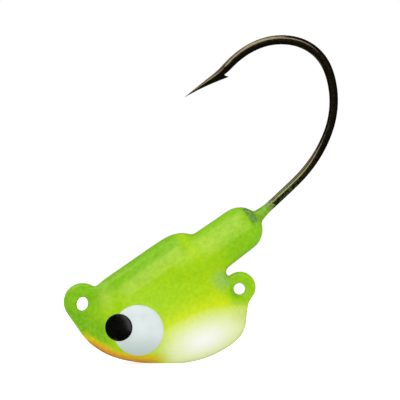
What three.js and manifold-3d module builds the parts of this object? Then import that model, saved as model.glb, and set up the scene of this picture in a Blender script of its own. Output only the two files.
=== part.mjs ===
// A quarter-ounce stand-up jig head for live bait: a lead head cast round a short-shank hook and a
// stamped tie plate, whose two ends stand out as the line eyelet and the trailing-hook eyelet.
// Millimetres, +Z up. The head rests on the flat under its chin, with the nose towards -X and the
// hook's gape open towards the nose. The origin is on that floor, under the middle of the part.
//
// Shapes are drawn in the head's own frame, where "along" follows the ridge of the back towards the
// rear, "up" is across it in the plane of the hook, and "side" is across both. The group at the end
// of the file stands that frame on the floor.
import * as THREE from 'three';
import { mergeVertices } from 'three/addons/utils/BufferGeometryUtils.js';
import Module from 'manifold-3d';

const wasm = await Module();
wasm.setup();

// Driving dimensions.
const RIDGE_TILT = THREE.MathUtils.degToRad(34.7); // of the ridge above the floor
const FRAME_PLACE = new THREE.Vector3(0.3, 0, 10.79); // of the head's own origin above the floor
const GAP = 0.05; // left between a piece and the lead or paint that is cast or laid round it

// The shank's axis climbs a little steeper than the ridge and crosses "along 0" at this height.
const SHANK_AXIS = { up: -0.07, slope: THREE.MathUtils.degToRad(1.3) };
// The bait collar round the shank narrows from its root to its domed end.
const COLLAR = { rootRadius: 2.38, endRadius: 2.25, tip: 6.65, root: -3.0 };

// The body's sections from the nose to the rear face. Each stands on edge between a point of the
// ridge and a point of the belly, both [along, up]. "ridge" and "belly" are the radii of its upper
// and lower rounds, and its sides are the straight lines between them.
const BODY_STATIONS = [
  { top: [-10.95, 2.9], bottom: [-14.2, -0.85], ridge: 0.42, belly: 0.42 },
  { top: [-10.85, 3.3], bottom: [-14.08, -1.75], ridge: 0.55, belly: 0.75 },
  { top: [-10.55, 3.54], bottom: [-13.58, -2.75], ridge: 0.85, belly: 1.45 },
  { top: [-10.1, 3.63], bottom: [-12.77, -3.85], ridge: 1.2, belly: 2.2 },
  { top: [-9.4, 3.67], bottom: [-11.45, -5.15], ridge: 1.6, belly: 2.8 },
  { top: [-8.2, 3.68], bottom: [-9.4, -6.75], ridge: 1.95, belly: 3.05 },
  { top: [-6.6, 3.68], bottom: [-7.2, -8.02], ridge: 2.12, belly: 2.95 },
  { top: [-5.0, 3.68], bottom: [-5.2, -8.7], ridge: 2.15, belly: 2.7 },
  { top: [-3.4, 3.68], bottom: [-3.4, -8.93], ridge: 2.15, belly: 2.4 },
  { top: [-2.0, 3.6], bottom: [-2.0, -8.86], ridge: 2.1, belly: 2.1 },
  { top: [-1.0, 3.33], bottom: [-1.0, -8.47], ridge: 1.95, belly: 1.8 },
  { top: [-0.3, 2.88], bottom: [-0.3, -7.85], ridge: 1.7, belly: 1.5 },
  { top: [0.25, 2.2], bottom: [0.22, -7.05], ridge: 1.35, belly: 1.15 },
  { top: [0.58, 1.4], bottom: [0.55, -6.2], ridge: 0.95, belly: 0.8 },
  { top: [0.74, 0.7], bottom: [0.72, -5.4], ridge: 0.45, belly: 0.4 },
];

const WIRE_RADIUS = 0.44;
const WIRE_SIDE_RADIUS = 0.37; // across the bend, where the wire is forged flat
const HOOK_EYE = { along: -2.7, ring: 0.75, wire: 0.36 };
// The hook's wire from its hidden eye to its point: each run's length, and how far it turns.
const HOOK_RUNS = [
  { length: 7.02, turn: 0 },
  { length: 2.87, turn: 6.05 },
  { length: 3.94, turn: 2.07 },
  { length: 5.89, turn: 25.65 },
  { length: 6.31, turn: 40.36 },
  { length: 4.6, turn: 57.41 },
  { length: 4.08, turn: 37.49 },
  { length: 3.73, turn: 25.01 },
  { length: 1.0, turn: -16.49 },
  { length: 4.15, turn: 0 },
];
const POINT_TAPER = 3.8; // length over which the wire narrows to the point
const FORGED_FROM = 29; // length left to the point where the wire begins to be forged flat
// The barb's lower edge runs straight from near the point to its tip, this far back and inwards.
const BARB = { start: 0.3, startDepth: 0.03, back: 4.85, depth: 0.77, notch: 4.5, thickness: 0.34 };

const PLATE_THICKNESS = 0.9;
const PLATE_BEVEL = 0.14;
const FRONT_EYELET = { along: -12.66, up: 3.04, radius: 1.87 };
const REAR_EYELET = { along: 1.12, up: -4.7, radius: 1.52 };
// Two holes take the line and the trailing hook, and molten lead locks through the other two.
const HOLES = [
  { along: -12.78, up: 2.92, radii: [0.78, 0.64], turn: 0.67 },
  { along: 0.98, up: -4.79, radii: [0.58, 0.58], turn: 0 },
  { along: -8.6, up: -0.96, radii: [0.32, 0.32], turn: 0 },
  { along: -4.2, up: -3.25, radii: [0.32, 0.32], turn: 0 },
];
// The plate widens into each eyelet round these corners.
const FRONT_CORNERS = [
  { along: -13.02, up: 0.35, radius: 1.51 },
  { along: -11.6, up: 0.6, radius: 1.1 },
];
const REAR_CORNERS = [
  { along: -0.5, up: -5.9, radius: 1.05 },
  { along: -0.8, up: -4.6, radius: 1.1 },
];
// The strip inside the lead that joins the two eyelets.
const STRIP_ENDS = [
  { along: -11.6, up: 0.6, radius: 0.75 },
  { along: -1.0, up: -4.9, radius: 0.75 },
];

// The paint bead overlaps the collar's end by a little and narrows along the wire.
const BEAD = { overlap: 0.1, length: 1.0, rootRadius: 0.68, midRadius: 0.57, endRadius: 0.52 };

// The eyes are discs of thick paint, laid on the casting to a little above its surface.
const EYE = { along: -9.64, up: -2.43, radius: 2.53, proud: 0.2 };
const PUPIL = { along: -11.08, up: -1.13, radius: 1.34, proud: 0.38 };

// ---- Solids ----------------------------------------------------------------------------------

function solidFrom(geometry) {
  const bare = geometry.clone();
  for (const name of Object.keys(bare.attributes)) {
    if (name !== 'position') bare.deleteAttribute(name);
  }
  const merged = mergeVertices(bare, 1e-4);
  return new wasm.Manifold(new wasm.Mesh({
    numProp: 3,
    vertProperties: new Float32Array(merged.attributes.position.array),
    triVerts: new Uint32Array(merged.index.array),
  }));
}

function geometryFrom(solid) {
  const mesh = solid.getMesh();
  const positions = new Float32Array(mesh.numVert * 3);
  for (let i = 0; i < mesh.numVert; i++) {
    positions.set(mesh.vertProperties.subarray(i * mesh.numProp, i * mesh.numProp + 3), i * 3);
  }
  const geometry = new THREE.BufferGeometry();
  geometry.setAttribute('position', new THREE.BufferAttribute(positions, 3));
  geometry.setIndex(new THREE.BufferAttribute(new Uint32Array(mesh.triVerts), 1));
  geometry.computeVertexNormals();
  return geometry;
}

// A closed skin over rings of points, each with the same number of points, fanned shut at its ends.
function loft(rings) {
  const count = rings[0].length;
  const points = rings.flat();
  const centres = [rings[0], rings.at(-1)].map((ring) =>
    ring.reduce((sum, p) => sum.add(p), new THREE.Vector3()).divideScalar(count));
  const index = [];
  for (let r = 0; r + 1 < rings.length; r++) {
    for (let i = 0; i < count; i++) {
      const [a, b] = [r * count + i, r * count + ((i + 1) % count)];
      index.push(a, b, b + count, a, b + count, a + count);
    }
  }
  const last = (rings.length - 1) * count;
  for (let i = 0; i < count; i++) {
    const next = (i + 1) % count;
    index.push(points.length, next, i, points.length + 1, last + i, last + next);
  }
  const geometry = new THREE.BufferGeometry().setFromPoints([...points, ...centres]);
  geometry.setIndex(index);
  return geometry;
}

// The convex outline round several circles.
function outlineRound(circles, steps = 40) {
  const points = circles.flatMap(({ along, up, radius }) => Array.from({ length: steps }, (_, i) => {
    const angle = (i / steps) * 2 * Math.PI;
    return new THREE.Vector2(along + radius * Math.cos(angle), up + radius * Math.sin(angle));
  })).sort((p, q) => p.x - q.x || p.y - q.y);
  const half = (sorted) => {
    const chain = [];
    for (const p of sorted) {
      while (chain.length > 1) {
        const [a, b] = chain.slice(-2);
        if ((b.x - a.x) * (p.y - a.y) - (b.y - a.y) * (p.x - a.x) > 1e-9) break;
        chain.pop();
      }
      chain.push(p);
    }
    return chain.slice(0, -1);
  };
  return new THREE.Shape([...half(points), ...half([...points].reverse())]);
}

// A plate in the plane of the hook, centred on it, with its edges bevelled.
function plateOf(shape, thickness, bevel) {
  const geometry = new THREE.ExtrudeGeometry(shape, {
    depth: thickness - 2 * bevel,
    bevelEnabled: bevel > 0,
    bevelSize: bevel,
    bevelOffset: -bevel,
    bevelThickness: bevel,
    bevelSegments: 1,
    curveSegments: 24,
  });
  geometry.translate(0, 0, bevel - thickness / 2);
  geometry.rotateX(Math.PI / 2); // the drawing's second axis becomes "up"
  return geometry;
}

// ---- The lead head ---------------------------------------------------------------------------

// One section of the body in its own plane: [side, up] from the belly round to the ridge.
function halfSection(height, ridge, belly, grow) {
  const arcSteps = 8;
  const upper = { centre: height - ridge, radius: ridge + grow };
  const lower = { centre: belly, radius: belly + grow };
  // The straight side touches both rounds at this angle.
  const lean = Math.asin((lower.radius - upper.radius) / (upper.centre - lower.centre));
  const arc = ({ centre, radius }, from, to) => Array.from({ length: arcSteps + 1 }, (_, i) => {
    const angle = from + (i / arcSteps) * (to - from);
    return [radius * Math.cos(angle), centre + radius * Math.sin(angle)];
  });
  return [...arc(lower, -Math.PI / 2, lean), ...arc(upper, lean, Math.PI / 2)];
}

// The body between the nose and the rear face, grown outwards by a given distance.
function bodySolid(grow = 0) {
  const spline = (read) => new THREE.CatmullRomCurve3(
    BODY_STATIONS.map((station) => new THREE.Vector3(...read(station))), false, 'catmullrom', 0.5);
  const tops = spline((s) => [s.top[0], s.top[1], s.ridge]);
  const bottoms = spline((s) => [s.bottom[0], s.bottom[1], s.belly]);
  const ringCount = 52;
  const rings = [];
  for (let r = 0; r <= ringCount; r++) {
    const top = tops.getPoint(r / ringCount);
    const bottom = bottoms.getPoint(r / ringCount);
    const rise = new THREE.Vector2(top.x - bottom.x, top.y - bottom.y);
    const height = rise.length();
    rise.normalize();
    const end = r === 0 ? -1 : Number(r === ringCount);
    const place = (side, up) => new THREE.Vector3(
      bottom.x + rise.x * up + end * grow * rise.y, side, bottom.y + rise.y * up - end * grow * rise.x);
    const half = halfSection(height, top.z, bottom.z, grow);
    rings.push([
      ...half.map(([side, up]) => place(side, up)),
      ...half.slice(1, -1).reverse().map(([side, up]) => place(-side, up)),
    ]);
  }
  return solidFrom(loft(rings));
}

// Turns a lathed shape, whose own axis is +Y, onto the shank's axis.
function onShankAxis(geometry) {
  geometry.rotateZ(-Math.PI / 2);
  geometry.rotateY(-SHANK_AXIS.slope);
  geometry.translate(0, 0, SHANK_AXIS.up);
  return geometry;
}

// The bait collar: a round bar along the shank with a domed end.
function collarSolid(grow = 0) {
  const rootRadius = COLLAR.rootRadius + grow;
  const endRadius = COLLAR.endRadius + grow;
  const domeCentre = COLLAR.tip - COLLAR.endRadius;
  const profile = new THREE.Path();
  profile.moveTo(0, COLLAR.root);
  profile.lineTo(rootRadius, COLLAR.root);
  profile.lineTo(rootRadius, 0);
  profile.lineTo(endRadius, domeCentre);
  profile.absarc(0, domeCentre, endRadius, 0, Math.PI / 2, false);
  return solidFrom(onShankAxis(new THREE.LatheGeometry(profile.getPoints(9), 40)));
}

// ---- The hook --------------------------------------------------------------------------------

// The centreline as short steps: each has its place, its heading and the length left to the point.
function hookCentreline() {
  const start = HOOK_EYE.along + HOOK_EYE.ring;
  const place = new THREE.Vector2(start, SHANK_AXIS.up + start * Math.tan(SHANK_AXIS.slope));
  let heading = SHANK_AXIS.slope;
  let left = HOOK_RUNS.reduce((sum, run) => sum + run.length, 0);
  const steps = [{ place: place.clone(), heading, left }];
  for (const { length, turn } of HOOK_RUNS) {
    const count = Math.max(2, Math.ceil(Math.abs(turn) / 6), Math.ceil(length / 1.2));
    const turnEach = THREE.MathUtils.degToRad(turn) / count;
    for (let i = 0; i < count; i++) {
      const course = heading + turnEach / 2;
      place.x += (Math.cos(course) * length) / count;
      place.y += (Math.sin(course) * length) / count;
      heading += turnEach;
      left -= length / count;
      steps.push({ place: place.clone(), heading, left });
    }
  }
  return steps;
}

function wireSolid(grow) {
  const sides = 14;
  const blendLength = 4; // over which the round wire turns oval
  const rings = hookCentreline().map(({ place, heading, left }) => {
    const taper = Math.min(1, 0.05 + (0.95 * left) / POINT_TAPER);
    const forged = THREE.MathUtils.smoothstep(FORGED_FROM - left, 0, blendLength);
    const radius = WIRE_RADIUS * taper + grow;
    const sideRadius = THREE.MathUtils.lerp(WIRE_RADIUS, WIRE_SIDE_RADIUS, forged) * taper + grow;
    return Array.from({ length: sides }, (_, i) => {
      const angle = (i / sides) * 2 * Math.PI;
      const across = radius * Math.sin(angle);
      return new THREE.Vector3(
        place.x - across * Math.sin(heading),
        sideRadius * Math.cos(angle),
        place.y + across * Math.cos(heading));
    });
  });
  return solidFrom(loft(rings));
}

function eyeSolid(grow) {
  const ring = new THREE.TorusGeometry(HOOK_EYE.ring, HOOK_EYE.wire + grow, 10, 24);
  ring.rotateX(Math.PI / 2);
  ring.translate(HOOK_EYE.along, 0, SHANK_AXIS.up + HOOK_EYE.along * Math.tan(SHANK_AXIS.slope));
  return solidFrom(ring);
}

// The barb is a thin wedge raised from the inside of the wire, pointing back towards the bend.
function barbSolid() {
  const { place, heading } = hookCentreline().at(-1);
  const at = (back, inwards) => new THREE.Vector2(
    place.x - back * Math.cos(heading) - inwards * Math.sin(heading),
    place.y - back * Math.sin(heading) + inwards * Math.cos(heading));
  const outline = new THREE.Shape([
    at(BARB.start, 0),
    at(BARB.start, BARB.startDepth),
    at(BARB.back, BARB.depth),
    at(BARB.notch, WIRE_RADIUS),
    at(BARB.notch, 0),
  ]);
  return solidFrom(plateOf(outline, BARB.thickness, 0));
}

function hookSolid() {
  return wireSolid(0).add(eyeSolid(0)).add(barbSolid());
}

// ---- The tie plate ---------------------------------------------------------------------------

// The tie plate: two eyelets joined by a strip that lies inside the lead.
function plateSolid(grow) {
  const outlines = [[FRONT_EYELET, ...FRONT_CORNERS], STRIP_ENDS, [REAR_EYELET, ...REAR_CORNERS]];
  const thickness = PLATE_THICKNESS + 2 * grow;
  const bevel = grow ? 0 : PLATE_BEVEL;
  const parts = outlines.map((circles) => {
    const grown = circles.map((circle) => ({ ...circle, radius: circle.radius + grow }));
    return solidFrom(plateOf(outlineRound(grown), thickness, bevel));
  });
  let solid = parts.reduce((whole, piece) => whole.add(piece));
  for (const { along, up, radii, turn } of HOLES) {
    const oval = new THREE.Shape();
    oval.absellipse(along, up, radii[0] - grow, radii[1] - grow, 0, 2 * Math.PI, false, turn);
    solid = solid.subtract(solidFrom(plateOf(oval, thickness + 1, 0)));
  }
  return solid;
}

// ---- Paint: the bead round the shank, and the eyes ---------------------------------------------

// The tapered bead of paint where the wire leaves the collar.
function beadSolid() {
  const { place, heading } = hookCentreline().find((step) => step.place.x > COLLAR.tip);
  const start = COLLAR.tip - BEAD.overlap - place.x;
  const end = COLLAR.tip + BEAD.length - place.x;
  const profile = [
    [0, start],
    [BEAD.rootRadius, start],
    [BEAD.rootRadius, COLLAR.tip - place.x],
    [BEAD.midRadius, end - BEAD.length / 2],
    [BEAD.endRadius, end],
    [0, end],
  ].map(([radius, along]) => new THREE.Vector2(radius, along));
  const geometry = new THREE.LatheGeometry(profile, 24);
  geometry.rotateZ(-Math.PI / 2);
  geometry.rotateY(-heading);
  geometry.translate(place.x, 0, place.y);
  return solidFrom(geometry).subtract(wireSolid(GAP)).subtract(collarSolid(GAP));
}

function discSolid({ along, up, radius }, side, grow = 0) {
  const height = 6;
  const geometry = new THREE.CylinderGeometry(radius + grow, radius + grow, height, 48);
  geometry.translate(along, (side * height) / 2, up);
  return solidFrom(geometry);
}

// ---- Assembly --------------------------------------------------------------------------------

const paint = (color, roughness) => new THREE.MeshStandardMaterial({ color, roughness, metalness: 0 });
const MATERIALS = {
  green: paint(0x9fd322, 0.3),
  bead: paint(0x76a629, 0.35),
  white: paint(0xd8e4e2, 0.3),
  black: paint(0x0a0a08, 0.25),
  steel: new THREE.MeshStandardMaterial({ color: 0x4d432b, roughness: 0.25, metalness: 1 }),
};

const group = new THREE.Group();
group.position.copy(FRAME_PLACE);
group.rotation.y = -RIDGE_TILT;
group.updateMatrixWorld(true);

function add(name, solid, material) {
  const mesh = new THREE.Mesh(geometryFrom(solid), material);
  mesh.name = name;
  group.add(mesh);
}

// Everything under the floor, drawn in the head's own frame, trims the chin to a flat.
function underFloorSolid() {
  const size = 60;
  const block = new THREE.BoxGeometry(size, size, size);
  block.translate(0, 0, -size / 2);
  block.applyMatrix4(group.matrixWorld.clone().invert());
  return solidFrom(block);
}

const body = bodySolid();
add('lead_head', body.add(collarSolid())
  .subtract(plateSolid(GAP))
  .subtract(wireSolid(GAP))
  .subtract(eyeSolid(GAP))
  .subtract(underFloorSolid()), MATERIALS.green);
add('tie_plate', plateSolid(0), MATERIALS.green);
add('hook', hookSolid(), MATERIALS.steel);
add('shank_paint_bead', beadSolid(), MATERIALS.bead);

const underPaint = bodySolid(GAP);
const whiteSkin = bodySolid(EYE.proud);
const whiteClearance = bodySolid(EYE.proud + GAP);
const pupilSkin = bodySolid(PUPIL.proud);
for (const [label, side] of [['left', -1], ['right', 1]]) {
  const white = discSolid(EYE, side).intersect(whiteSkin).subtract(underPaint);
  const step = discSolid(EYE, side, GAP).intersect(whiteClearance);
  const pupil = discSolid(PUPIL, side).intersect(pupilSkin).subtract(underPaint).subtract(step);
  add(`eye_white_${label}`, white, MATERIALS.white);
  add(`pupil_${label}`, pupil, MATERIALS.black);
}

export default group;
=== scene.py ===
"""The looks of a painted jig head on its hook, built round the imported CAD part.

Lengths in the shape code are millimetres, and each finished mesh is scaled to metres.
"""

import math

import bmesh
import bpy
import numpy as np
import openvdb as vdb
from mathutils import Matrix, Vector
from mathutils.bvhtree import BVHTree


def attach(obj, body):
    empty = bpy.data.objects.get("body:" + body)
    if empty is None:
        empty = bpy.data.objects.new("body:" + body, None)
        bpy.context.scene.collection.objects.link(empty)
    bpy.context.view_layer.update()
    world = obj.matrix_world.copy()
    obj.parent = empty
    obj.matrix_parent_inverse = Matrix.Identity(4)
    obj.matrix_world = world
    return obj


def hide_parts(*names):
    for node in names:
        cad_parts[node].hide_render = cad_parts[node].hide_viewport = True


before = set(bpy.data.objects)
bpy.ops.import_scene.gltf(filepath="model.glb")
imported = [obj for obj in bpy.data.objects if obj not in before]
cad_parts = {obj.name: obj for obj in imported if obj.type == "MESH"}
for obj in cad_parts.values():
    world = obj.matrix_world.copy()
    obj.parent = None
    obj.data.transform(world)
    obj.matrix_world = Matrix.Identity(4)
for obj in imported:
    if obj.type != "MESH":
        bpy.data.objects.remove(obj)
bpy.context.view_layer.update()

MM = 0.001

# The head's own frame: "along" follows the ridge of the back to the rear, "up" is across it.
RIDGE_TILT = math.radians(34.7)
HEAD_ORIGIN = (0.3, 10.79)  # X and Z
SHANK_SLOPE = math.radians(1.3)  # of the shank above the ridge line
SHANK_UP = -0.07  # of the shank's axis at "along 0"
COLLAR_TIP = 6.65  # along

# The casting's distance fields.
CLOSING = 0.5  # how far its narrow channels and creases are filled
HEAD_BLUR, PLATE_BLUR, LAST_BLUR = 0.15, 0.1, 0.07
HEAD_FILM, PLATE_FILM = 0.008, 0.04  # of paint over the lead and over the plate
# The fillets at the eyelets: reach at the top, gain lower down, the Z where it starts to gain
# and the drop over which it does.
FRONT_FILLET = (0.6, 0.45, 5.5, 2)
REAR_FILLET = (0.35, 0.55, 7.4, 1.2)
# The eyelets' holes: along, up, radius, and how much thicker the film is on the wall.
EYELET_HOLES = ((-12.78, 2.92, 0.7, 0.04), (0.98, -4.79, 0.6, -0.045))
HOLE_MARGIN, HOLE_BLEND = 0.35, 0.3
# Where each eyelet's paint is parted from the head's: X and Z at the nose, along and up behind.
NOSE_PART = ((-14.6, 9.8), (-14.6, 0.9), (-11.35, 0.9), (-10.75, 6.9), (-10.75, 9.8))
REAR_PART = ((1.15, -2.75), (3.4, -2.75), (3.4, -7.6), (1.15, -7.6))
PART_HALF_WIDTH = 1.6

# The hook's wire from its hidden eye to its point: length and turn in degrees of each run.
HOOK_EYE_ALONG = -2.7
HOOK_EYE_RING = 0.75
HOOK_EYE_WIRE = 0.36
HOOK_RUNS = (
    (7.02, 0), (2.87, 6.05), (3.94, 2.07), (5.89, 25.65), (6.31, 40.36),
    (4.6, 57.41), (4.08, 37.49), (3.73, 25.01), (1.0, -16.49), (4.15, 0),
)
WIRE_RADIUS = 0.44
WIRE_SIDE_RADIUS = 0.37  # where it is forged
FORGED_FROM = 29.0  # length left to the point
FORGE_BLEND = 4.0
FORGED_SQUARENESS = 1.2
POINT_TAPER = 5.2  # length of the needle point
POINT_LEAST = 0.03  # share of the radius left at its tip
# Where forging left the wire fuller and leaner: length left, spread, share of the radius.
WIRE_FULL = (14, 4.5, 0.08)
WIRE_LEAN = (23, 4, 0.04)

BARB_START, BARB_LENGTH = 0.35, 4.5  # back from the point
BARB_ROOT, BARB_LIFT, BARB_BOW = 0.02, 0.73, 0.08  # of its edge, inwards from the wire's axis
BARB_THIN_FROM = 0.9  # share of its length

BEAD_FROM, BEAD_TO = -0.35, 1.25  # along the shank from the collar's tip
BEAD_LEFT = 30  # least length left to the point, which leaves out the wire's way back
BEAD_FLARE, BEAD_FILM = 0.3, 0.16

# Eye discs: X, Z, radius.
EYE_WHITE = (-6.24, 3.3, 2.53)
PUPIL = (-8.2, 3.58, 1.37)
DOT_RIM_AT, DOT_RIM_WIDTH = 0.93, 0.045  # shares of the radius
DOT_LIFT, DOT_SINK = 0.004, 0.05  # of a dot's top and underside from what it lies on


def in_world(along, up):
    """X and Z, in millimetres, of a point of the head's own frame."""
    c, s = math.cos(RIDGE_TILT), math.sin(RIDGE_TILT)
    return HEAD_ORIGIN[0] + along * c - up * s, HEAD_ORIGIN[1] + along * s + up * c


def smoothstep(x, low, high):
    """0 at low, 1 at high, smooth between."""
    t = min(1.0, max(0.0, (x - low) / (high - low)))
    return t * t * (3 - 2 * t)


def hump(x, middle, spread, height):
    """height at the middle, falling to nothing on both sides."""
    return height * math.exp(-((x - middle) / spread) ** 2)


# ---- Meshes ------------------------------------------------------------------------------------

def mesh_object(name, points, faces, smooth=True, sharp_angle=None):
    """A mesh object from points in millimetres."""
    mesh = bpy.data.meshes.new(name)
    mesh.from_pydata((np.asarray(points) * MM).tolist(), [], [list(map(int, f)) for f in faces])
    mesh.validate()
    mesh.polygons.foreach_set("use_smooth", [smooth] * len(mesh.polygons))
    if sharp_angle is not None:
        mesh.set_sharp_from_angle(angle=math.radians(sharp_angle))
    mesh.update()
    obj = bpy.data.objects.new(name, mesh)
    bpy.context.scene.collection.objects.link(obj)
    return obj


def faced_outward(obj):
    """obj, with all its faces turned outwards."""
    bm = bmesh.new()
    bm.from_mesh(obj.data)
    bmesh.ops.recalc_face_normals(bm, faces=bm.faces)
    bm.to_mesh(obj.data)
    bm.free()
    return obj


def tube_faces(rings, sides):
    """The faces of a closed tube whose points go ring by ring."""
    faces = []
    for r in range(rings - 1):
        for i in range(sides):
            j = (i + 1) % sides
            a = r * sides
            faces.append((a + i, a + j, a + sides + j, a + sides + i))
    faces.append(tuple(range(sides - 1, -1, -1)))
    faces.append(tuple(range((rings - 1) * sides, rings * sides)))
    return faces


def node_triangles(node):
    """A CAD node's points in millimetres and its triangles."""
    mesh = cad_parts[node].data
    mesh.calc_loop_triangles()
    points = np.zeros(len(mesh.vertices) * 3, np.float32)
    mesh.vertices.foreach_get("co", points)
    triangles = np.zeros(len(mesh.loop_triangles) * 3, np.int32)
    mesh.loop_triangles.foreach_get("vertices", triangles)
    return points.reshape(-1, 3) / MM, triangles.reshape(-1, 3).astype(np.uint32)


# ---- Distance fields, for the smooth cast shapes -----------------------------------------------

VOXEL = 0.075
BAND = 14  # half width of a field, in voxels


class Field:
    """A signed distance, in millimetres, sampled on one grid round the casting."""
    low = None
    shape = None

    @classmethod
    def fit(cls, low, high, margin=1.0):
        """Sets the grid to a box with a margin round it."""
        cls.low = np.floor((np.array(low) - margin) / VOXEL).astype(int)
        top = np.ceil((np.array(high) + margin) / VOXEL).astype(int)
        cls.shape = tuple(int(n) for n in top - cls.low)

    @classmethod
    def of(cls, points, triangles=None, quads=None):
        """The field of a closed surface."""
        grid = vdb.FloatGrid.createLevelSetFromPolygons(
            np.ascontiguousarray(points, np.float32), triangles=triangles, quads=quads,
            transform=vdb.createLinearTransform(voxelSize=VOXEL), halfWidth=float(BAND))
        values = np.zeros(cls.shape, np.float32)
        grid.copyToArray(values, ijk=tuple(int(i) for i in cls.low))
        return values

    @classmethod
    def surface(cls, values, level=0.0):
        """Points and quads of the surface where a field has a level."""
        grid = vdb.FloatGrid()
        grid.background = BAND * VOXEL
        grid.transform = vdb.createLinearTransform(voxelSize=VOXEL)
        grid.copyFromArray(np.ascontiguousarray(values, np.float32),
                           ijk=tuple(int(i) for i in cls.low))
        points, quads = grid.convertToQuads(level)
        return points, quads[:, ::-1]

    @classmethod
    def axes(cls):
        """The three coordinates of the grid, in millimetres, ready to broadcast."""
        lines = [(cls.low[i] + np.arange(cls.shape[i])) * VOXEL for i in range(3)]
        return np.meshgrid(*lines, indexing="ij", sparse=True)


def blurred(values, sigma):
    """values after a Gaussian blur of sigma millimetres."""
    reach = int(math.ceil(2.6 * sigma / VOXEL))
    taps = np.exp(-0.5 * (np.arange(-reach, reach + 1) * VOXEL / sigma) ** 2)
    taps /= taps.sum()
    for axis in range(3):
        pad = [(0, 0)] * 3
        pad[axis] = (reach, reach)
        wide = np.pad(values, pad, mode="edge")
        total = np.zeros_like(values)
        for i, tap in enumerate(taps):
            window = [slice(None)] * 3
            window[axis] = slice(i, i + values.shape[axis])
            total += np.float32(tap) * wide[tuple(window)]
        values = total
    return values


def smooth_union(a, b, reach):
    """The union of two fields, filled where they meet."""
    h = np.clip(0.5 + 0.5 * (b - a) / reach, 0, 1)
    return b + (a - b) * h - reach * h * (1 - h)


def fillet_reach(z, narrow, gain, start, drop):
    """How far a fillet reaches at each height."""
    return narrow + gain * np.clip((start - z) / drop, 0, 1)


def casting_surface():
    """The painted casting with the two eyelets standing out of it: points and quads."""
    head_points, head_triangles = node_triangles("lead_head")
    plate_points, plate_triangles = node_triangles("tie_plate")
    every = np.concatenate([head_points, plate_points])
    Field.fit(every.min(0), every.max(0))

    # Growing the casting and shrinking it back fills its narrow channels and rounds its creases.
    head = Field.of(head_points, triangles=head_triangles)
    points, quads = Field.surface(head, CLOSING)
    head = Field.of(points, quads=quads.astype(np.uint32)) + CLOSING
    head = blurred(head, HEAD_BLUR) - HEAD_FILM
    plate = Field.of(plate_points, triangles=plate_triangles)
    plate = blurred(plate, PLATE_BLUR) - PLATE_FILM

    x, _, z = Field.axes()
    fillet = np.where(x < 0, fillet_reach(z, *FRONT_FILLET), fillet_reach(z, *REAR_FILLET))
    both = smooth_union(head, plate, fillet.astype(np.float32))
    for along, up, radius, film in EYELET_HOLES:
        both = drilled(both, plate - film, *in_world(along, up), radius)
    return Field.surface(blurred(both, LAST_BLUR))


def drilled(values, plate, hole_x, hole_z, radius):
    """values, with the plate's field alone near one of its holes, so no fillet bridges it."""
    x, _, z = Field.axes()
    reach = np.sqrt((x - hole_x) ** 2 + (z - hole_z) ** 2)
    near = np.clip((radius + HOLE_MARGIN - reach) / HOLE_BLEND, 0, 1).astype(np.float32)
    return values + (plate - values) * near


def box_cutter(name, corners_xz, half_width):
    """A prism across the plane of the hook, from corners in X and Z."""
    count = len(corners_xz)
    points = [(x, y, z) for y in (-half_width, half_width) for x, z in corners_xz]
    faces = [list(range(count)), list(range(2 * count - 1, count - 1, -1))]
    for i in range(count):
        j = (i + 1) % count
        faces.append([j, i, i + count, j + count])
    return faced_outward(mesh_object(name, points, faces, smooth=False))


def cut(obj, cutter, operation):
    """Cuts obj with a boolean operation, and shades it smooth but for its cut edges."""
    modifier = obj.modifiers.new("cut", "BOOLEAN")
    modifier.operation = operation
    modifier.solver = "EXACT"
    modifier.object = cutter
    depsgraph = bpy.context.evaluated_depsgraph_get()
    mesh = bpy.data.meshes.new_from_object(obj.evaluated_get(depsgraph))
    obj.modifiers.clear()
    obj.data = mesh
    mesh.polygons.foreach_set("use_smooth", [True] * len(mesh.polygons))
    mesh.set_sharp_from_angle(angle=math.radians(50))


# ---- The hook ----------------------------------------------------------------------------------

def hook_line(step=0.09):
    """The wire's centreline: (along, up, heading, length left to the point)."""
    along = HOOK_EYE_ALONG + HOOK_EYE_RING
    up = SHANK_UP + along * math.tan(SHANK_SLOPE)
    heading = SHANK_SLOPE
    left = sum(length for length, _ in HOOK_RUNS)
    line = [(along, up, heading, left)]
    for length, turn in HOOK_RUNS:
        count = max(2, round(length / step))
        each = math.radians(turn) / count
        for _ in range(count):
            course = heading + each / 2
            along += math.cos(course) * length / count
            up += math.sin(course) * length / count
            heading += each
            left -= length / count
            line.append((along, up, heading, left))
    return eased(line)


def eased(line, reach=7, passes=2):
    """The line with its changes of curvature eased. Its ends stay in place."""
    values = np.array(line)
    for _ in range(passes):
        total = values.copy()
        for i in range(1, len(values) - 1):
            span = min(reach, i, len(values) - 1 - i)
            total[i, :3] = values[i - span:i + span + 1, :3].mean(0)
        values = total
    return [tuple(v) for v in values]


def swept(line, section, sides):
    """Points and faces of rings along a line. section(left, angle) gives (inwards, sideways)."""
    points = []
    for along, up, heading, left in line:
        for i in range(sides):
            inwards, side = section(left, 2 * math.pi * i / sides)
            x, z = in_world(along - inwards * math.sin(heading), up + inwards * math.cos(heading))
            points.append((x, side, z))
    return points, tube_faces(len(line), sides)


def wire_section(left, angle):
    """A round wire, forged flat on its sides round the bend, and drawn to a needle point."""
    forged = smoothstep(FORGED_FROM - left, 0, FORGE_BLEND)
    taper = min(1.0, left / POINT_TAPER)
    taper = max(POINT_LEAST, taper * (1.25 - 0.25 * taper))
    power = 2 + FORGED_SQUARENESS * forged * smoothstep(left, 3.0, 8.0)
    side_radius = WIRE_RADIUS + (WIRE_SIDE_RADIUS - WIRE_RADIUS) * forged
    c, s = math.cos(angle), math.sin(angle)
    round_to = (abs(c) ** power + abs(s) ** power) ** (-1 / power)
    swell = 1 + hump(left, *WIRE_FULL) - hump(left, *WIRE_LEAN)
    return WIRE_RADIUS * taper * round_to * swell * s, side_radius * taper * round_to * c


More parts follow.
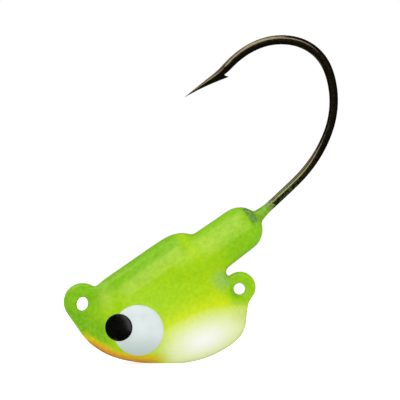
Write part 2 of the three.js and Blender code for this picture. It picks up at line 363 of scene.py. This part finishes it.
def barb_shell(stations=26):
    """The barb, cut from the inside of the wire and lifted: points and faces."""
    along, up, heading, _ = hook_line()[-1]
    points = []
    for k in range(stations):
        t = k / (stations - 1)
        back = BARB_START + BARB_LENGTH * t
        lower = BARB_ROOT + BARB_LIFT * t - BARB_BOW * math.sin(math.pi * t)
        # It reaches back to the wire's axis at most, until it thins to an edge at its tip.
        thinned = smoothstep(t, BARB_THIN_FROM, 1.0)
        upper = lower - max(0.03, (0.45 + 0.2 * t) * (1 - thinned) + 0.03)
        upper = max(upper, 0.0) if t < BARB_THIN_FROM else upper
        # It widens away from the point and narrows again to its tip.
        half = (0.05 + 0.27 * smoothstep(t, 0.0, 0.7)) * (1 - 0.85 * smoothstep(t, 0.72, 1.0))
        section = ((lower, 0.0), (lower - 0.07, half * 0.62), (upper + 0.02, half),
                   (upper, 0.0), (upper + 0.02, -half), (lower - 0.07, -half * 0.62))
        for depth, side in section:
            a = along - back * math.cos(heading) - depth * math.sin(heading)
            b = up - back * math.sin(heading) + depth * math.cos(heading)
            x, z = in_world(a, b)
            points.append((x, side, z))
    return points, tube_faces(stations, len(section))


def eye_ring(turns=48, sides=16):
    """The hook's own eye, inside the lead: points and faces."""
    centre = (HOOK_EYE_ALONG, SHANK_UP + HOOK_EYE_ALONG * math.tan(SHANK_SLOPE))
    points, faces = [], []
    for t in range(turns):
        a = 2 * math.pi * t / turns
        for i in range(sides):
            b = 2 * math.pi * i / sides
            out = HOOK_EYE_RING + HOOK_EYE_WIRE * math.cos(b)
            x, z = in_world(centre[0] + out * math.cos(a), centre[1] + out * math.sin(a))
            points.append((x, HOOK_EYE_WIRE * math.sin(b), z))
            j, u = (i + 1) % sides, (t + 1) % turns
            faces.append((t * sides + i, u * sides + i, u * sides + j, t * sides + j))
    return points, faces


def joined(name, shells, **options):
    """One object from several (points, faces)."""
    points, faces = [], []
    for shell_points, shell_faces in shells:
        base = len(points)
        points.extend(shell_points)
        faces.extend([tuple(base + i for i in f) for f in shell_faces])
    return faced_outward(mesh_object(name, points, faces, **options))


def paint_bead(sides=48):
    """The bead of head paint that runs out along the wire and thins to an uneven edge."""
    line = [p for p in hook_line(0.04)
            if BEAD_FROM < p[0] - COLLAR_TIP < BEAD_TO and p[3] > BEAD_LEFT]
    start, end = line[0][3], line[-1][3]

    def section(left, angle):
        """A ring that is flared where it leaves the collar, and more uneven as it thins."""
        t = (start - left) / (start - end)
        flare = BEAD_FLARE * (1 - smoothstep(t, 0.0, 0.42)) ** 2
        film = BEAD_FILM * (1 - smoothstep(t, 0.15, 1.0)) + 0.012
        wave = 1 + 0.18 * math.sin(2 * angle + 0.7) * t + 0.1 * math.sin(5 * angle) * t
        radius = WIRE_RADIUS + flare + film * wave
        return radius * math.sin(angle), radius * math.cos(angle)

    return joined("shank_bead", [swept(line, section, sides)], sharp_angle=60)


# ---- The eyes ----------------------------------------------------------------------------------

def paint_dot(name, spot, side, under, film, rim, rings=26, spokes=96):
    """A dot of thick paint, film high, lying on what is under it. side is -1 or 1.

    Its flat face falls away at the edge, where the paint has drawn up into a rim.
    """
    x0, z0, radius = spot

    def height(x, z):
        """How far out from the plane of the hook the outermost surface lies."""
        start = Vector((x * MM, side * 9 * MM, z * MM))
        hits = [tree.ray_cast(start, Vector((0, -side, 0)))[0] for tree in under]
        found = [side * hit.y / MM for hit in hits if hit is not None]
        return max(found) if found else None

    grid = [(0.0, 0.0)]
    for r in range(1, rings + 1):
        share = math.sin(0.5 * math.pi * r / rings)
        for s in range(spokes):
            angle = 2 * math.pi * s / spokes
            grid.append((share, angle))
    base = []
    for share, angle in grid:
        x, z = x0 + radius * share * math.cos(angle), z0 + radius * share * math.sin(angle)
        base.append((x, height(x, z), z))

    top, bottom = [], []
    for (share, angle), (x, y, z) in zip(grid, base):
        edge = math.sqrt(max(0.0, 1 - share ** 10))
        ridge = hump(share, DOT_RIM_AT, DOT_RIM_WIDTH, rim)
        top.append((x, side * (y + film * edge + ridge * edge + DOT_LIFT), z))
        bottom.append((x, side * (y - DOT_SINK), z))
    points = top + bottom
    count = len(grid)
    faces = []

    def ring(r):
        """The first point of a ring, after the one at the centre."""
        return 1 + (r - 1) * spokes

    for s in range(spokes):
        n = (s + 1) % spokes
        faces.append((0, ring(1) + s, ring(1) + n))
        faces.append((count, count + ring(1) + n, count + ring(1) + s))
    for r in range(1, rings):
        for s in range(spokes):
            n = (s + 1) % spokes
            a, b, c, d = ring(r) + s, ring(r + 1) + s, ring(r + 1) + n, ring(r) + n
            faces.append((a, b, c, d))
            faces.append((count + a, count + d, count + c, count + b))
    for s in range(spokes):
        n = (s + 1) % spokes
        a, b = ring(rings) + s, ring(rings) + n
        faces.append((a, count + a, count + b, b))
    return joined(name, [(points, faces)], sharp_angle=70)


def tree_of(obj):
    """An object's surface, ready to cast rays at."""
    depsgraph = bpy.context.evaluated_depsgraph_get()
    return BVHTree.FromObject(obj, depsgraph)


# ---- Materials ---------------------------------------------------------------------------------

MIX_FROM, MIX_TO = 6, 7  # a colour mix node's two colours, by their places among its inputs


class Nodes:
    """Short calls for building a material's node tree."""

    def __init__(self, name):
        self.material = bpy.data.materials.new(name)
        self.material.use_nodes = True
        self.tree = self.material.node_tree
        self.shader = self.tree.nodes["Principled BSDF"]
        self.place = self.add("ShaderNodeTexCoord").outputs["Object"]

    def add(self, kind, **settings):
        node = self.tree.nodes.new(kind)
        for key, value in settings.items():
            setattr(node, key, value)
        return node

    def put(self, socket, value):
        """Links a socket to another node's output, or sets it to a plain value."""
        if isinstance(value, bpy.types.NodeSocket):
            self.tree.links.new(value, socket)
        else:
            socket.default_value = value

    def math(self, operation, *values, clamp=False):
        node = self.add("ShaderNodeMath", operation=operation, use_clamp=clamp)
        for socket, value in zip(node.inputs, values):
            self.put(socket, value)
        return node.outputs[0]

    def axis(self, direction, origin):
        """How far a point lies along a direction from an origin, in millimetres."""
        node = self.add("ShaderNodeVectorMath", operation="SUBTRACT")
        self.put(node.inputs[0], self.place)
        node.inputs[1].default_value = [v * MM for v in origin]
        dot = self.add("ShaderNodeVectorMath", operation="DOT_PRODUCT")
        self.put(dot.inputs[0], node.outputs[0])
        dot.inputs[1].default_value = [v / MM for v in direction]
        return dot.outputs["Value"]

    def noise(self, per_mm, detail=3.0, roughness=0.55, offset=(0, 0, 0)):
        """A noise of about per_mm lumps each millimetre."""
        mapping = self.add("ShaderNodeMapping")
        self.put(mapping.inputs["Vector"], self.place)
        mapping.inputs["Scale"].default_value = [per_mm / MM] * 3
        mapping.inputs["Location"].default_value = offset
        node = self.add("ShaderNodeTexNoise")
        self.put(node.inputs["Vector"], mapping.outputs[0])
        node.inputs["Scale"].default_value = 1.0
        node.inputs["Detail"].default_value = detail
        node.inputs["Roughness"].default_value = roughness
        return node.outputs["Fac"]

    def ramp(self, value, stops):
        """A grey from a value, by two stops of (place, grey)."""
        node = self.add("ShaderNodeValToRGB")
        node.color_ramp.interpolation = "EASE"
        for element, (place, grey) in zip(node.color_ramp.elements, stops):
            element.position = place
            element.color = (grey, grey, grey, 1)
        self.put(node.inputs[0], value)
        return node.outputs[0]

    def spread(self, value, low, high, kind="SMOOTHSTEP"):
        """0 at low, 1 at high, smooth between."""
        node = self.add("ShaderNodeMapRange", interpolation_type=kind)
        self.put(node.inputs["Value"], value)
        node.inputs["From Min"].default_value = low
        node.inputs["From Max"].default_value = high
        return node.outputs[0]

    def product(self, *values):
        """All the values multiplied."""
        total = values[0]
        for value in values[1:]:
            total = self.math("MULTIPLY", total, value)
        return total

    def length(self, a, b):
        """The length of the two sides a and b taken at right angles."""
        squares = [self.math("MULTIPLY", v, v) for v in (a, b)]
        return self.math("SQRT", self.math("ADD", *squares))

    def distance(self, point):
        """The distance from a point given in millimetres, in metres."""
        node = self.add("ShaderNodeVectorMath", operation="DISTANCE")
        self.put(node.inputs[0], self.place)
        node.inputs[1].default_value = [v * MM for v in point]
        return node.outputs["Value"]

    def streaks(self, along, up):
        """A noise drawn out along the head's own frame."""
        place = self.add("ShaderNodeCombineXYZ")
        self.put(place.inputs[0], self.math("MULTIPLY", along, 1.1))
        self.put(place.inputs[1], self.math("MULTIPLY", up, 4.5))
        node = self.add("ShaderNodeTexNoise")
        self.put(node.inputs["Vector"], place.outputs[0])
        node.inputs["Scale"].default_value = 1.0
        node.inputs["Detail"].default_value = 4.0
        node.inputs["Roughness"].default_value = 0.65
        return node.outputs["Fac"]

    def bell(self, value, middle, reach):
        """1 at the middle, falling smoothly to 0 at a reach on either side."""
        return self.spread(self.math("ABSOLUTE", self.math("SUBTRACT", value, middle)), reach, 0)

    def mix(self, factor, a, b):
        """Colour a where factor is 0, and colour b where it is 1."""
        node = self.add("ShaderNodeMix", data_type="RGBA")
        self.put(node.inputs[0], factor)
        self.put(node.inputs[MIX_FROM], a)
        self.put(node.inputs[MIX_TO], b)
        return node.outputs[2]

    def lay(self, colour, tone, mask, amount):
        """colour with a tone laid over it where the mask is, in part."""
        return self.mix(self.math("MULTIPLY", mask, amount), colour, tone)

    def bump(self, height, distance, strength=1.0, normal=None):
        node = self.add("ShaderNodeBump")
        node.inputs["Distance"].default_value = distance * MM
        node.inputs["Strength"].default_value = strength
        self.put(node.inputs["Height"], height)
        if normal is not None:
            self.put(node.inputs["Normal"], normal)
        return node.outputs[0]


def srgb(red, green, blue):
    """A display colour, 0 to 255, as the linear colour a shader takes."""
    def linear(v):
        v /= 255
        return v / 12.92 if v <= 0.04045 else ((v + 0.055) / 1.055) ** 2.4
    return (linear(red), linear(green), linear(blue), 1.0)


DEEP = srgb(98, 178, 22)
GREEN = srgb(130, 202, 18)
LIME = srgb(160, 214, 4)
YELLOW = srgb(182, 223, 2)
HALO = srgb(216, 236, 18)
CREAM = srgb(255, 255, 250)
# Pale tint of the painted highlights on the flanks and where the nose swells.
PAINTED_HIGHLIGHT = srgb(208, 232, 104)
AMBER = srgb(214, 204, 4)
ORANGE = srgb(232, 138, 30)
RUST = srgb(202, 96, 54)
TAIL = srgb(146, 208, 12)
# Grey of a painted reflection by the rear notch.
NOTCH_REFLECTION_GREY = srgb(150, 176, 150)
# Dark grey of a painted reflection where the collar ends round the shank.
SHANK_REFLECTION_GREY = srgb(58, 104, 80)
# Grey-green of painted shade on the rear face.
REAR_EDGE_SHADE = srgb(186, 212, 140)
# Yellow of a painted highlight behind the hump.
FOLD_HIGHLIGHT = srgb(190, 224, 24)
GLINT = srgb(226, 244, 60)
OVERSPRAY = srgb(122, 160, 52)

# The belly's cream is an ellipse that climbs to the rear.
BELLY_TILT = math.radians(22)
BELLY_CENTRE = (0.3, 0, 2.3)
BELLY_LENGTH, BELLY_WIDTH = 4.5, 2.1
# The jaw's edge is an arc. Its centre is given in X and Z.
JAW_CENTRE = (-6.37, 6.45)
JAW_RADIUS = 6.4
NOTCH_REFLECTION_SPOT = (1.9, -1.1, 8.2)  # X, Y and Z of the middle of the painted grey reflection by the rear notch


class HeadNodes(Nodes):
    """The nodes of the head's paint, with the coordinates that place its coats and its painted
    highlights, reflections and shade.
    """

    def __init__(self, name):
        super().__init__(name)
        c, s = math.cos(RIDGE_TILT), math.sin(RIDGE_TILT)
        origin = (HEAD_ORIGIN[0], 0, HEAD_ORIGIN[1])
        self.along = self.axis((c, 0, s), origin)
        self.up = self.axis((-s, 0, c), origin)
        self.height = self.axis((0, 0, 1), (0, 0, 0))
        self.forward = self.axis((1, 0, 0), (0, 0, 0))
        drift = self.math("MULTIPLY", self.math("SUBTRACT", self.noise(0.35, 2), 0.5), 1.6)
        speck = self.math("MULTIPLY", self.math("SUBTRACT", self.noise(9, 2), 0.5), 1.1)
        self.haze = self.math("ADD", drift, speck)

    def hazed(self, value, amount):
        """A coordinate made uneven, so that what it places has a sprayed edge."""
        return self.math("ADD", value, self.math("MULTIPLY", self.haze, amount))


def belly_reach(n):
    """0 at the middle of the belly's cream and 1 round its ellipse."""
    c, s = math.cos(BELLY_TILT), math.sin(BELLY_TILT)
    length = n.axis((c / BELLY_LENGTH, 0, s / BELLY_LENGTH), BELLY_CENTRE)
    width = n.axis((-s / BELLY_WIDTH, 0, c / BELLY_WIDTH), BELLY_CENTRE)
    return n.hazed(n.length(length, width), 0.1)


def sprayed_colours(n, reach):
    """The head's main colours, from the cream of the belly to the green of the back."""
    belly = n.mix(n.spread(reach, 1.1, 2.3), HALO, YELLOW)
    belly = n.mix(n.spread(reach, 0.08, 1.4, "LINEAR"), CREAM, belly)
    lift, front, back = (n.hazed(place, 0.5) for place in (n.up, n.forward, n.along))
    colour = n.mix(n.spread(lift, -4.4, -0.8), belly, LIME)
    colour = n.mix(n.spread(front, -2.4, -6.5), colour, LIME)
    colour = n.mix(n.spread(lift, 0.3, 2.7), colour, GREEN)
    colour = n.mix(n.spread(back, 0.6, 3.0), colour, GREEN)
    ridge = n.product(n.spread(lift, 1.5, 2.9), n.spread(back, -0.6, -2.2))
    colour = n.lay(colour, DEEP, ridge, 0.45)
    # The nose is deepest along its lower edge, which slopes down to the rear.
    edge = n.hazed(n.axis((0.47, 0, 0.883), (-10.9, 0, 2.0)), 0.3)
    nose = n.product(n.spread(edge, 3.6, 1.6), n.spread(front, -8.0, -10.2))
    colour = n.lay(colour, DEEP, nose, 0.85)
    tail = n.product(n.spread(back, -1.2, 0.4), n.spread(n.up, -2.0, -3.0),
                     n.spread(n.hazed(n.height, 0.3), 5.3, 6.3))
    return n.mix(tail, colour, TAIL)


def jaw_stripe(n, colour):
    """Amber, orange and rust laid along the jaw's edge, each closer to it than the last."""
    across = n.math("MINIMUM", n.math("SUBTRACT", n.forward, JAW_CENTRE[0]), 0.0)
    down = n.math("SUBTRACT", n.height, JAW_CENTRE[1])
    depth = n.hazed(n.math("SUBTRACT", JAW_RADIUS, n.length(across, down)), 0.12)
    # The stripe thins out where it climbs the front of the jaw.
    depth = n.math("ADD", depth, n.math("MULTIPLY", n.spread(n.height, 1.7, 3.1), 0.5))
    under = n.product(n.spread(n.forward, -2.4, -5.4), n.spread(n.height, 3.6, 2.3))
    jaw = n.product(n.spread(n.forward, -3.2, -7.0), n.spread(n.height, 3.2, 0.9))
    for tone, mask, none, full in ((AMBER, under, 1.15, 0.6), (ORANGE, jaw, 0.92, 0.32),
                                   (RUST, jaw, 0.42, 0.1)):
        colour = n.mix(n.product(mask, n.spread(depth, none, full)), colour, tone)
    return colour


def painted_reflections_and_shade(n, colour):
    """Painted reflections, grey by the rear notch and round the shank, and painted grey-green
    shade on the rear face.
    """
    # Painted reflection: grey by the rear notch.
    notch = n.spread(n.distance(NOTCH_REFLECTION_SPOT), 1.5 * MM, 0.3 * MM)
    colour = n.lay(colour, NOTCH_REFLECTION_GREY, notch, 0.34)
    # Painted reflection: dark grey patches round the shank at the collar's end.
    blots = n.spread(n.noise(3.2, 4, 0.65, offset=(1, 4, 2)), 0.3, 0.5)
    edge = n.hazed(n.along, 0.15)
    shoulder = n.product(n.spread(edge, 5.55, 6.0), n.spread(edge, 6.6, 6.4),
                         n.spread(n.up, -0.8, 0.1), blots)
    colour = n.lay(colour, SHANK_REFLECTION_GREY, shoulder, 0.9)
    # Painted shade: grey-green on the rear face.
    rear_edge_shade = n.product(n.spread(n.forward, 2.5, 3.7), n.bell(n.height, 4.9, 1.7),
                     n.spread(n.haze, -1.0, 0.6))
    return n.lay(colour, REAR_EDGE_SHADE, rear_edge_shade, 0.6)


def painted_swell_and_fold_highlights(n, colour):
    """Painted highlights: lighter where the nose swells from its tab, and yellower behind the
    hump.
    """
    # Painted highlight where the nose swells from its tab.
    swell = n.product(n.bell(n.forward, -9.5, 1.2), n.bell(n.height, 6.6, 1.9))
    colour = n.lay(colour, PAINTED_HIGHLIGHT, swell, 0.4)
    # Painted highlight: yellower in the crease behind the hump.
    fold = n.product(n.bell(n.along, -0.7, 1.0), n.spread(n.up, -1.2, 1.4))
    return n.lay(colour, FOLD_HIGHLIGHT, fold, 0.5)


def painted_highlight_bands(n, colour):
    """Painted highlights: paler, streaked bands along the flanks of the hump and of the collar."""
    streaks = n.streaks(n.along, n.up)
    wander = n.math("MULTIPLY", n.math("SUBTRACT", streaks, 0.5), 0.35)
    edge = n.math("ADD", n.up, wander)
    hump_flank = n.product(n.spread(edge, 2.45, 2.05), n.spread(edge, 0.75, 1.05),
                           n.spread(n.along, -10.0, -8.0), n.spread(n.along, -1.3, -1.9))
    collar_flank = n.product(n.spread(edge, 1.75, 1.4), n.spread(edge, -0.65, -0.2),
                             n.spread(n.along, -0.3, 0.5), n.spread(n.along, 5.9, 5.0))
    flanks = n.math("MAXIMUM", hump_flank, n.math("MULTIPLY", collar_flank, 0.8))
    return n.lay(colour, PAINTED_HIGHLIGHT, n.product(flanks, n.spread(streaks, 0.15, 0.62)), 0.4)


def mottled(n, colour, reach):
    """A fine mottle of light and dark, everywhere but in the belly's cream."""
    strength = n.spread(reach, 0.3, 1.5)
    light = n.lay(colour, GLINT, strength, 0.2)
    dark = n.lay(colour, DEEP, strength, 0.14)
    return n.mix(n.spread(n.noise(2.6, 5, 0.7, offset=(5, 2, 1)), 0.34, 0.68), light, dark)


def add_gloss(n):
    """The paint's soft gloss, its pale sheen at grazing angles and its slight orange peel."""
    roughness = n.ramp(n.noise(1.6, 3, offset=(3, 3, 3)), ((0.25, 0.16), (0.75, 0.28)))
    n.put(n.shader.inputs["Roughness"], roughness)
    n.shader.inputs["Specular IOR Level"].default_value = 0.2
    n.shader.inputs["Specular Tint"].default_value = (1.0, 0.85, 0.55, 1.0)
    n.shader.inputs["Sheen Weight"].default_value = 0.2
    n.shader.inputs["Sheen Roughness"].default_value = 0.35
    n.shader.inputs["Sheen Tint"].default_value = srgb(206, 232, 120)
    peel = n.bump(n.noise(1.1, 2), 0.03, 0.35)
    grit = n.bump(n.noise(3.5, 4, 0.65), 0.022, 0.6, peel)
    n.put(n.shader.inputs["Normal"], grit)


def paint_material(name):
    """The head's sprayed paint, coat over coat, with painted highlights, reflections and shade
    laid in among the coats.
    """
    n = HeadNodes(name)
    reach = belly_reach(n)
    colour = sprayed_colours(n, reach)
    for coat_or_painted_light in (jaw_stripe, painted_reflections_and_shade, painted_swell_and_fold_highlights, painted_highlight_bands):
        colour = coat_or_painted_light(n, colour)
    n.put(n.shader.inputs["Base Color"], mottled(n, colour, reach))
    add_gloss(n)
    return n.material


def hook_material():
    """Black nickel with a bronze cast, with a drift of green overspray near the collar."""
    n = Nodes("black_nickel_bronze")
    exit_x, exit_z = in_world(COLLAR_TIP, SHANK_UP)
    climb = n.axis((0.72, 0, 0.69), (exit_x, 0, exit_z))
    shank = n.spread(n.axis((1, 0, 0), (0, 0, 0)), 4.4, 5.4)
    patches = n.noise(3.2, 4, 0.65)
    # Thick spray breaks up into patches near the collar, and a thin drift of it goes further.
    dense = n.math("ADD", n.math("MULTIPLY", n.spread(climb, 4.0, 0.6), 0.6),
                   n.math("MULTIPLY", patches, 0.8))
    dense = n.product(n.spread(dense, 0.74, 0.88), shank)
    drift = n.product(n.spread(climb, 9.5, 2.0), n.spread(patches, 0.36, 0.62), shank)
    spray = n.math("MAXIMUM", dense, n.math("MULTIPLY", drift, 0.45))
    steel = n.mix(n.spread(n.noise(1.2, 3), 0.3, 0.7), srgb(108, 99, 76), srgb(98, 88, 66))
    n.put(n.shader.inputs["Base Color"], n.mix(spray, steel, OVERSPRAY))
    n.put(n.shader.inputs["Metallic"], n.math("SUBTRACT", 1.0, spray, clamp=True))
    polish = n.ramp(n.noise(4, 3), ((0.3, 0.09), (0.7, 0.17)))
    n.put(n.shader.inputs["Roughness"], n.math("ADD", polish, n.math("MULTIPLY", spray, 0.2)))
    n.put(n.shader.inputs["Normal"], n.bump(n.noise(6, 3), 0.01, 0.3))
    return n.material


def gloss_paint(name, light, dark, rough, gloss=0.4, low=None):
    """A glossy paint of two mottled tones, turning to the tone called low near the ground, which
    paints shade on its lower part.
    """
    n = Nodes(name)
    colour = n.mix(n.spread(n.noise(1.3, 3), 0.3, 0.75), light, dark)
    # Painted shade: given low, the colour turns to it towards the bottom.
    if low is not None:
        colour = n.mix(n.spread(n.axis((0, 0, 1), (0, 0, 0)), 2.9, 0.9), colour, low)
    n.put(n.shader.inputs["Base Color"], colour)
    n.put(n.shader.inputs["Roughness"], n.ramp(n.noise(3, 2), ((0.3, rough), (0.7, rough + 0.1))))
    n.shader.inputs["Specular IOR Level"].default_value = gloss
    n.put(n.shader.inputs["Normal"], n.bump(n.noise(1.5, 2), 0.02, 0.3))
    return n.material


def plate_material():
    """Brass, green with paint at both ends, where it stands out of the lead."""
    n = Nodes("painted_brass_plate")
    forward = n.axis((1, 0, 0), (0, 0, 0))
    painted = n.math("MAXIMUM", n.spread(forward, -10.6, -10.9), n.spread(forward, 2.5, 2.8))
    brass = n.mix(n.noise(3, 3), srgb(190, 160, 90), srgb(160, 130, 70))
    green = n.mix(n.noise(3, 3), LIME, GREEN)
    n.put(n.shader.inputs["Base Color"], n.mix(painted, brass, green))
    n.put(n.shader.inputs["Metallic"], n.math("SUBTRACT", 1.0, painted, clamp=True))
    n.put(n.shader.inputs["Roughness"], n.ramp(n.noise(8, 2), ((0.3, 0.3), (0.7, 0.45))))
    return n.material


def dress(obj, material):
    """Gives an object one material and no other."""
    obj.data.materials.clear()
    obj.data.materials.append(material)


# ---- Pieces ------------------------------------------------------------------------------------

def build_casting():
    """The head's casting, and the paint of its two eyelets as pieces of their own."""
    points, quads = casting_surface()
    head = mesh_object("head_casting", points, quads)
    tabs = []
    rear = [in_world(along, up) for along, up in REAR_PART]
    for name, corners in (("line_eyelet_paint", NOSE_PART), ("rear_eyelet_paint", rear)):
        cutter = box_cutter("cutter", corners, PART_HALF_WIDTH)
        tab = mesh_object(name, points, quads)
        cut(tab, cutter, "INTERSECT")
        cut(head, cutter, "DIFFERENCE")
        bpy.data.objects.remove(cutter)
        tabs.append(tab)
    return head, tabs


paint = paint_material("sprayed_gloss_paint")
head, tabs = build_casting()
for piece in (head, *tabs):
    dress(piece, paint)
    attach(piece, "root")
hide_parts("lead_head")
dress(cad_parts["tie_plate"], plate_material())

hook = joined("hook_wire", [swept(hook_line(), wire_section, 40), barb_shell(), eye_ring()],
              sharp_angle=50)
dress(hook, hook_material())
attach(hook, "root")
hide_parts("hook")

bead = paint_bead()
dress(bead, gloss_paint("bead_paint", srgb(146, 200, 24), srgb(104, 164, 18), 0.3, 0.25))
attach(bead, "root")
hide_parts("shank_paint_bead")

# The eye whites' lower parts are painted darker, a painted shade.
white_paint = gloss_paint("eye_white_paint", srgb(222, 232, 230), srgb(215, 227, 225), 0.3,
                          low=srgb(196, 211, 205))
black_paint = gloss_paint("eye_black_paint", srgb(6, 6, 4), srgb(12, 10, 9), 0.2, 0.24)
head_tree = tree_of(head)
for label, side in (("left", -1), ("right", 1)):
    white = paint_dot("eye_dot_" + label, EYE_WHITE, side, [head_tree], 0.12, 0.0)
    dress(white, white_paint)
    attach(white, "root")
    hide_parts("eye_white_" + label)
    black = paint_dot("pupil_dot_" + label, PUPIL, side, [head_tree, tree_of(white)], 0.11, 0.012)
    dress(black, black_paint)
    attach(black, "root")
    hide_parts("pupil_" + label)


# ---- Studio ------------------------------------------------------------------------------------

ARC_CENTRE = (0, 0, 0.012)
ARC_RADIUS = 0.6
ARC_LEAN = (-0.36, 0.933)  # X and Z of the way to its top, a little to the left of overhead
SKY_LOW, SKY_HIGH = 0.92, 1.06  # strength of the soft light from below and from above
ROOM = (0.035, 0.035, 0.035, 1)  # what the gloss sees between the softboxes
WHITE = (1, 1, 1, 1)


def aim(obj, place, target):
    """Puts a camera or a light at a place, and turns it to a target."""
    obj.location = place
    obj.rotation_euler = (Vector(target) - Vector(place)).to_track_quat("-Z", "Y").to_euler()


def add_camera():
    """A long lens, level with the middle of the object and square to the plane of the hook."""
    data = bpy.data.cameras.new("camera")
    camera = bpy.data.objects.new("camera", data)
    bpy.context.scene.collection.objects.link(camera)
    distance, view_width, image_width = 0.7, 0.04, 36.0
    target = (-0.1 * MM, 0, 16.29 * MM)
    aim(camera, (target[0], -distance, target[2]), target)
    data.sensor_width = image_width
    data.lens = image_width * distance / view_width
    data.clip_start = 0.01
    data.clip_end = 20
    bpy.context.scene.camera = camera


def arc_place(climb):
    """A place on an arc from the camera's side to overhead, by its climb in degrees."""
    rise, reach = math.sin(math.radians(climb)), math.cos(math.radians(climb))
    return (ARC_LEAN[0] * rise * ARC_RADIUS, -reach * ARC_RADIUS,
            ARC_LEAN[1] * rise * ARC_RADIUS + ARC_CENTRE[2])


def add_light(name, place, size, radiance):
    """A softbox that is seen in the gloss only."""
    data = bpy.data.lights.new(name, "AREA")
    data.shape = "RECTANGLE"
    data.size, data.size_y = size
    data.energy = radiance * math.pi * size[0] * size[1]
    light = bpy.data.objects.new(name, data)
    bpy.context.scene.collection.objects.link(light)
    light.visible_diffuse = False
    aim(light, place, ARC_CENTRE)


def add_world():
    """White behind the object, soft light on it from all round, and a darker room in its gloss."""
    world = bpy.data.worlds.new("studio")
    bpy.context.scene.world = world
    world.use_nodes = True
    nodes, links = world.node_tree.nodes, world.node_tree.links
    background = nodes["Background"]
    path = nodes.new("ShaderNodeLightPath")
    place = nodes.new("ShaderNodeTexCoord")
    split = nodes.new("ShaderNodeSeparateXYZ")
    links.new(place.outputs["Generated"], split.inputs[0])
    height = nodes.new("ShaderNodeMapRange")
    height.inputs["From Min"].default_value = -0.5
    height.inputs["From Max"].default_value = 0.5
    height.inputs["To Min"].default_value = SKY_LOW
    height.inputs["To Max"].default_value = SKY_HIGH
    links.new(split.outputs["Z"], height.inputs["Value"])
    for_gloss = nodes.new("ShaderNodeMix")
    for_gloss.data_type = "RGBA"
    links.new(height.outputs[0], for_gloss.inputs[MIX_FROM])
    for_gloss.inputs[MIX_TO].default_value = ROOM
    links.new(path.outputs["Is Glossy Ray"], for_gloss.inputs[0])
    seen = nodes.new("ShaderNodeMix")
    seen.data_type = "RGBA"
    seen.inputs[MIX_TO].default_value = WHITE
    links.new(path.outputs["Is Camera Ray"], seen.inputs[0])
    links.new(for_gloss.outputs[2], seen.inputs[MIX_FROM])
    links.new(seen.outputs[2], background.inputs["Color"])


def add_floor():
    """A white card that glows, more strongly away from the object, so that it fades into the white
    background.
    """
    bpy.ops.mesh.primitive_circle_add(vertices=96, radius=0.5, fill_type="NGON",
                                      location=(0, 0, -0.00002))
    floor = bpy.context.object
    floor.name = "floor"
    floor.visible_glossy = False
    floor.visible_diffuse = False
    n = Nodes("pale_floor")
    n.put(n.shader.inputs["Base Color"],
          n.mix(n.noise(0.02, 3), (0.92, 0.92, 0.92, 1), (0.88, 0.88, 0.88, 1)))
    n.shader.inputs["Roughness"].default_value = 0.9
    distance = n.add("ShaderNodeVectorMath", operation="LENGTH")
    n.put(distance.inputs[0], n.place)
    away = n.spread(distance.outputs["Value"], 0.008, 0.05)
    # The floor glows, more away from the object: painted light.
    n.shader.inputs["Emission Color"].default_value = WHITE
    n.put(n.shader.inputs["Emission Strength"],
          n.math("ADD", n.math("MULTIPLY", away, 0.2), 0.4))
    dress(floor, n.material)


add_camera()
add_world()
add_floor()
# Three softboxes stand on the arc. Another stands high at the left, and a small one low at the
# left lights the inside of the hook's bend.
for label, place, size, radiance in (
        ("low", arc_place(19), (0.34, 0.14), 2.6),
        ("key", arc_place(44), (0.36, 0.36), 2.9),
        ("top", arc_place(80), (0.4, 0.3), 2.0),
        ("left", (-0.45, 0.04, 0.42), (0.3, 0.26), 1.9),
        ("rim", (-0.42, 0.02, -0.3), (0.2, 0.24), 1.9)):
    add_light(label, place, size, radiance)
bpy.context.scene.view_settings.view_transform = "Standard"
